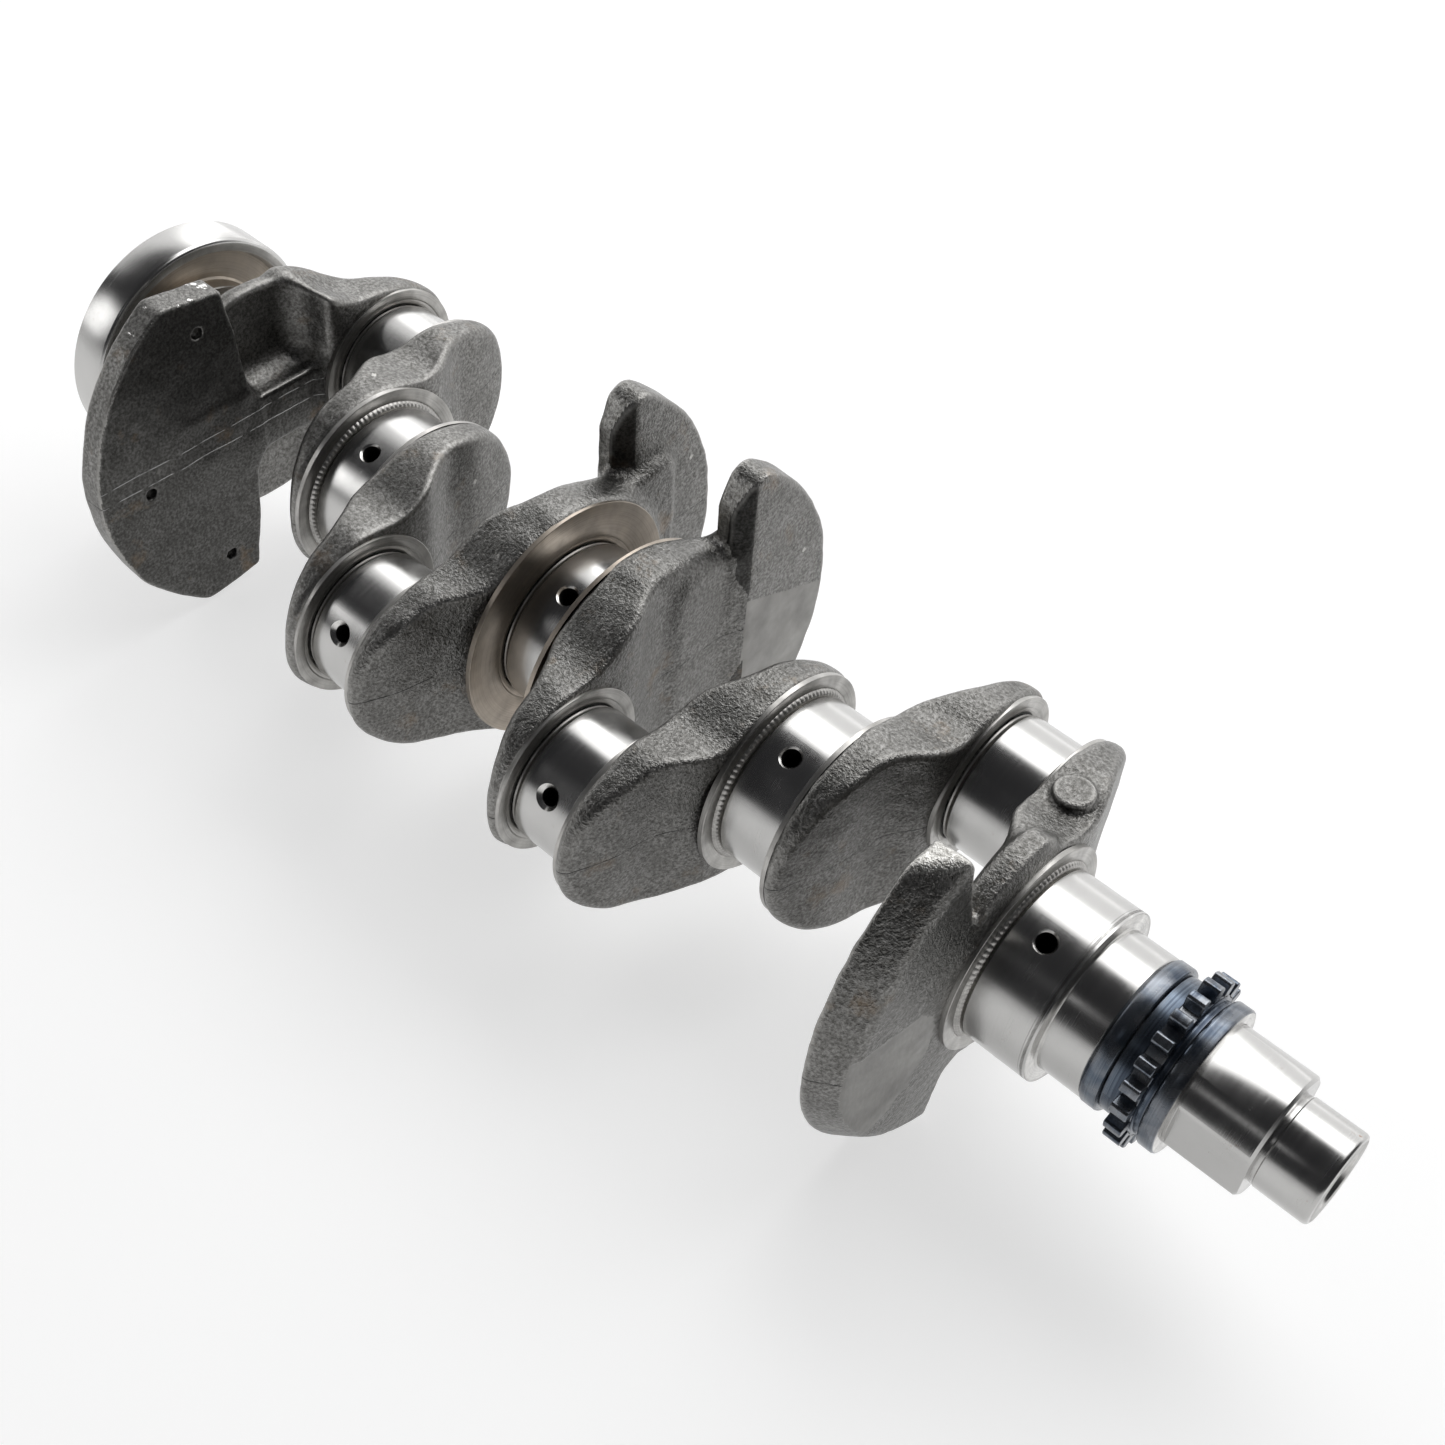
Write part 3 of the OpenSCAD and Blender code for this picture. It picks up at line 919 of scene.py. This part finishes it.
def flange():
    """Rim, front recess and neck of the flange."""
    low, high = span("flywheel_flange")
    outer = high[2]
    neck, recess = 3.0, 3.0
    front = high[0] - neck
    profile = [
        (low[0], outer - 1.0),
        (low[0] + 1.0, outer),
        (front - 1.5, outer),
        (front - 1.0, outer - 0.15),
        (front - 0.4, outer - 0.6),
        (front, outer - 1.5),
        (front, 38.4),
        (front - 0.4, 38.0),
        (front - recess, 37.2),
        (front - recess, 35.0),
        (front - recess, 27.5),
        (front - recess + 0.6, 26.7),
        (high[0], 26.5),
    ]
    turned("flywheel_flange_surface", profile, [GROUND, TURNED, BROWN], node="flywheel_flange",
           bands=((5, 1), (8, 2)))


def flange_rear():
    """Rear face of the flange with the pilot bore, six bolt holes and the dowel hole."""
    low, high = span("flywheel_flange")
    pilot_r, pilot_depth = 11.0, 14.0
    bolt_circle_r, bolt_r, bolt_depth = 26.0, 4.25, 11.0
    dowel_circle_r, dowel_r, dowel_depth = 27.0, 4.0, 9.0
    holes = [(0, 0, pilot_r, pilot_depth)]
    holes += [(*polar(bolt_circle_r, degrees), bolt_r, bolt_depth) for degrees in range(0, 360, 60)]
    holes.append((*polar(dowel_circle_r, 30), dowel_r, dowel_depth))
    drilled_face("flywheel_flange_rear_face", low[0], -1, high[2] - 1.0, holes)


flange()
flange_rear()


def seal():
    """The bearing's front end, the step down from it and the oil-seal surface."""
    low, high = span("seal_journal")
    r = 22.5
    step_x = 187.3
    profile = [
        (low[0], MAIN_R - 0.3),
        (low[0] + 0.3, MAIN_R),
        (step_x - 2.1, MAIN_R),
        (step_x - 2.0, MAIN_R - 0.3),
        (step_x - 1.7, MAIN_R - 0.3),
        (step_x - 1.6, MAIN_R),
        (step_x - 0.7, MAIN_R),
        (step_x - 0.15, MAIN_R - 0.4),
        (step_x, MAIN_R - 0.8),
        (step_x, r + 0.9),
        (step_x + 0.15, r + 0.4),
        (step_x + 0.5, r + 0.08),
        (step_x + 1.0, r),
        (high[0] - 0.6, r),
        (high[0], r - 0.6),
        (high[0], 18.0),
    ]
    turned("seal_journal_surface", profile, [GROUND, BRIGHT], node="seal_journal", bands=((5, 1), (12, 0)))


seal()


def pump_drive():
    """Drive section with two milled flats, from just in front of the sprocket set to its end."""
    low, high = span("pump_drive")
    r = high[2]
    across = 33.3 / 2
    flats_from = 225.6
    edge = math.acos(across / r)
    fan = np.linspace(-edge, edge, 25)
    arc = np.linspace(edge, math.pi - edge, 61)
    angles = np.concatenate([fan, arc[1:-1], fan + math.pi, (arc + math.pi)[1:-1]])
    stations = [low[0], flats_from, flats_from, high[0] - 0.9, high[0] - 0.25, high[0], high[0], high[0]]
    radii = [r, r, r, r, r - 0.65, r - 0.9, 14.5, 13.0]
    points, quads = lathe_grid(list(zip(stations, radii)), angles)
    cut = np.abs(points[:, 1])
    flat = (points[:, 0] > flats_from - 0.1) & (cut > across)
    flat[: 2 * len(angles)] = False
    scale = np.where(flat, across / np.maximum(cut, 1e-6), 1.0)
    points[:, 1] *= scale
    make_piece("pump_drive_surface", points, quads, [GROUND], "pump_drive")


pump_drive()


THREAD_DEPTH = 42


def nose():
    """The plain pulley seat with the countersunk mouth of its threaded hole."""
    low, high = span("nose")
    r = high[2]
    mouth, thread_start = 8.2, high[0] - 1.9
    profile = [
        (low[0], r + 0.8),
        (low[0] + 0.2, r - 0.4),
        (low[0] + 1.3, r - 0.4),
        (low[0] + 1.7, r),
        (high[0] - 1.4, r),
        (high[0] - 0.8, r - 0.15),
        (high[0] - 0.3, r - 0.5),
        (high[0], r - 1.3),
        (high[0], mouth + 0.4),
        (high[0] - 0.1, mouth),
        (thread_start, 6.9),
    ]
    turned("nose_surface", profile, [GROUND, TURNED, BRIGHT], node="nose", bands=((7, 1), (9, 2)))
    thread(thread_start, high[0] - THREAD_DEPTH)


def thread(start, end):
    """The helical wall of the threaded hole, with its blind end."""
    major, minor, lead = 7.0, 6.15, 2.0
    turns = 96
    angles = even_angles(turns)
    xs = np.arange(start, end, -lead / 12)
    grid_x, grid_a = np.meshgrid(xs, angles, indexing="ij")
    phase = (grid_x / lead + grid_a / (2 * math.pi)) % 1
    radius = minor + (major - minor) * (1 - np.abs(2 * phase - 1))
    points = np.stack([grid_x, radius * np.cos(grid_a), radius * np.sin(grid_a)], 2).reshape(-1, 3)
    _, quads = lathe_grid([(x, 1) for x in xs], angles)
    points = np.vstack([points, [[end - 3.5, 0, 0]]])
    last = (len(xs) - 1) * turns
    cone = [[last + k, last + (k + 1) % turns, len(points) - 1] for k in range(turns)]
    make_piece("nose_bolt_thread", points, quads.tolist() + cone, [TURNED])


nose()

# ---------------------------------------------------------------- sprocket set

SET_BORE_R = 18.75
TEETH = 21


def collar(node, bright_front):
    """A plain ring with broken edges, its front face bright or black."""
    low, high = span(node)
    r, bore = high[2], SET_BORE_R
    profile = [
        (low[0], bore),
        (low[0], r - 0.6),
        (low[0] + 0.15, r - 0.25),
        (low[0] + 0.6, r),
        (high[0] - 0.6, r),
        (high[0] - 0.15, r - 0.25),
        (high[0], r - 0.6),
        (high[0], bore),
        (low[0], bore),
    ]
    bands = ((6, 1),) if bright_front else ()
    turned(node + "_surface", profile, [OXIDE, BRIGHT], CENTRE, node, SPROCKET_SET, bands)


def sprocket():
    """Hub and square-crested teeth."""
    low, high = span("timing_sprocket")
    tip = high[2]
    hub, root, bore = 21.2, 22.6, SET_BORE_R
    tooth_low, tooth_high = 211.8, 217.2
    profile = [
        (low[0], bore), (low[0], hub - 0.4), (low[0] + 0.4, hub), (tooth_low - 0.4, hub),
        (tooth_low, hub + 0.4), (tooth_low, root - 0.2), (tooth_low + 0.2, root), (tooth_high - 0.2, root),
        (tooth_high, root - 0.2), (tooth_high, hub + 0.4), (tooth_high + 0.4, hub), (high[0] - 0.4, hub),
        (high[0], hub - 0.4), (high[0], bore), (low[0], bore),
    ]
    turned("timing_sprocket_hub", profile, [OXIDE], CENTRE, "timing_sprocket", SPROCKET_SET)
    half = (tooth_high - tooth_low) / 2
    outline = [(root - 0.8, -2.2), (root + 0.5, -2.0), (tip - 0.7, -1.7), (tip - 0.1, -1.2), (tip, 0.0),
               (tip - 0.1, 1.2), (tip - 0.7, 1.7), (root + 0.5, 2.0), (root - 0.8, 2.2)]
    points, faces = [], []
    for turn in even_angles(TEETH):
        base = len(points)
        for x in (-half, half):
            for u, v in outline:
                y = u * math.cos(turn) - v * math.sin(turn)
                z = u * math.sin(turn) + v * math.cos(turn)
                points.append(((tooth_low + tooth_high) / 2 + x, y, z))
        count = len(outline)
        for a in range(count):
            b = (a + 1) % count
            faces.append([base + a, base + b, base + count + b, base + count + a])
        faces.append([base + count - 1 - a for a in range(count)])
        faces.append([base + count + a for a in range(count)])
    teeth = make_piece(
        "timing_sprocket_teeth", points, faces, [OXIDE], "timing_sprocket", SPROCKET_SET
    )
    bevel = teeth.modifiers.new("broken_edges", "BEVEL")
    bevel.width = 0.3 * MM
    bevel.segments = 2
    bevel.limit_method = "ANGLE"


collar("rear_collar", False)
sprocket()
collar("front_collar", True)

# ------------------------------------------------------------------ the studio


def paper():
    """Matt paper that glows a little, as if lit from below."""
    paint = Paint("floor_paper")
    shade = paint.mix(paint.noise(14, 3.0, 0.5), (0.5,) * 3, (0.495,) * 3)
    paint.set(Base_Color=shade, Roughness=0.9, Specular_IOR_Level=0.1)
    paint.set(Emission_Color=(1.0, 1.0, 1.0, 1.0), Emission_Strength=0.62)
    return paint.mat


def studio_floor(half=14.0, gap=0.0006):
    """A square sheet, half is half its side in metres, just under the lowest point of the part."""
    z = CAD_BOUNDS[0].z - gap
    mesh = bpy.data.meshes.new("studio_floor")
    corners = [(-half, -half, z), (half, -half, z), (half, half, z), (-half, half, z)]
    mesh.from_pydata(corners, [], [(0, 1, 2, 3)])
    mesh.materials.append(paper())
    mesh.update()
    floor = bpy.data.objects.new("studio_floor", mesh)
    bpy.context.scene.collection.objects.link(floor)


studio_floor()


def fade_edges(data, fade):
    """Lets a lamp's diffuser darken towards its edges."""
    data.use_nodes = True
    tree = data.node_tree
    glow = tree.nodes["Emission"]
    place = tree.nodes.new("ShaderNodeNewGeometry").outputs["Parametric"]
    split = tree.nodes.new("ShaderNodeSeparateXYZ")
    tree.links.new(place, split.inputs[0])
    shares = []
    for axis in (0, 1):
        offset = tree.nodes.new("ShaderNodeMath")
        offset.operation = "SUBTRACT"
        tree.links.new(split.outputs[axis], offset.inputs[0])
        offset.inputs[1].default_value = 0.5
        away = tree.nodes.new("ShaderNodeMath")
        away.operation = "ABSOLUTE"
        tree.links.new(offset.outputs[0], away.inputs[0])
        ramp = tree.nodes.new("ShaderNodeMapRange")
        ramp.interpolation_type = "SMOOTHSTEP"
        tree.links.new(away.outputs[0], ramp.inputs[0])
        for key, value in ((1, 0.5 - fade), (2, 0.5), (3, 1.0), (4, 0.0)):
            ramp.inputs[key].default_value = value
        shares.append(ramp.outputs[0])
    both = tree.nodes.new("ShaderNodeMath")
    both.operation = "MULTIPLY"
    for socket, share in zip(both.inputs, shares):
        tree.links.new(share, socket)
    tree.links.new(both.outputs[0], glow.inputs["Strength"])


def softbox(name, at, aim, size, radiance, fade):
    """A rectangular area light of a given radiance in W/(m2 sr); fade is the share that darkens."""
    data = bpy.data.lights.new(name, "AREA")
    data.shape = "RECTANGLE"
    data.size, data.size_y = size
    data.energy = radiance * math.pi * size[0] * size[1]
    fade_edges(data, fade)
    lamp = bpy.data.objects.new(name, data)
    bpy.context.scene.collection.objects.link(lamp)
    lamp.location = at
    lamp.rotation_euler = (Vector(aim) - Vector(at)).to_track_quat("-Z", "Y").to_euler()
    lamp.visible_camera = False


softbox("top_softbox", (0.05, 0.66, 1.0), aim=(0.05, 0.05, 0.0), size=(1.9, 1.0), radiance=2.9, fade=0.22)
softbox("left_front_softbox", (-0.80, -0.72, 0.38), (-0.1, 0.0, 0.0), (0.42, 0.66), radiance=2.6, fade=0.35)
softbox("nose_softbox", (0.12, -0.85, 0.78), (0.24, 0.0, 0.0), (0.3, 0.26), radiance=0.6, fade=0.4)
softbox("back_wall", (-0.4, 2.3, 1.1), (0.0, 0.0, 0.3), (4.2, 2.6), radiance=1.2, fade=0.05)
softbox("left_wall", (-2.3, 0.75, 1.1), (0.0, 0.0, 0.3), (3.3, 2.6), radiance=1.2, fade=0.05)


def studio_air():
    """A dark room above a pale horizon."""
    world = bpy.data.worlds.new("studio_air")
    bpy.context.scene.world = world
    world.use_nodes = True
    tree = world.node_tree
    way = tree.nodes.new("ShaderNodeTexCoord").outputs["Generated"]
    split = tree.nodes.new("ShaderNodeSeparateXYZ")
    tree.links.new(way, split.inputs[0])
    fade = tree.nodes.new("ShaderNodeValToRGB")
    tree.links.new(split.outputs[2], fade.inputs[0])
    horizon, dark = fade.color_ramp.elements
    horizon.position, horizon.color = 0.02, (0.78, 0.78, 0.78, 1.0)
    dark.position, dark.color = 0.13, (0.03, 0.03, 0.032, 1.0)
    tree.links.new(fade.outputs[0], tree.nodes["Background"].inputs["Color"])


studio_air()

# ------------------------------------------------------------------ the camera

CAMERA_AT = Vector((0.307880, -0.313069, 0.446802))
LOOK = Vector((-0.42424, 0.52246, -0.73963))
UP = Vector((-0.53293, 0.51630, 0.67039))
FOCAL_MM = 50.857


def product_camera():
    """The camera that the scene is seen with: above the nose, looking down along the crank."""
    data = bpy.data.cameras.new("product_camera")
    data.lens = FOCAL_MM
    data.sensor_width = 36
    data.clip_start, data.clip_end = 0.01, 20
    camera = bpy.data.objects.new("product_camera", data)
    bpy.context.scene.collection.objects.link(camera)
    right = LOOK.cross(UP).normalized()
    up = right.cross(LOOK).normalized()
    turn = Matrix((right, up, -LOOK.normalized())).transposed().to_4x4()
    camera.matrix_world = Matrix.Translation(CAMERA_AT) @ turn
    bpy.context.scene.camera = camera


product_camera()
bpy.context.scene.view_settings.view_transform = "Standard"
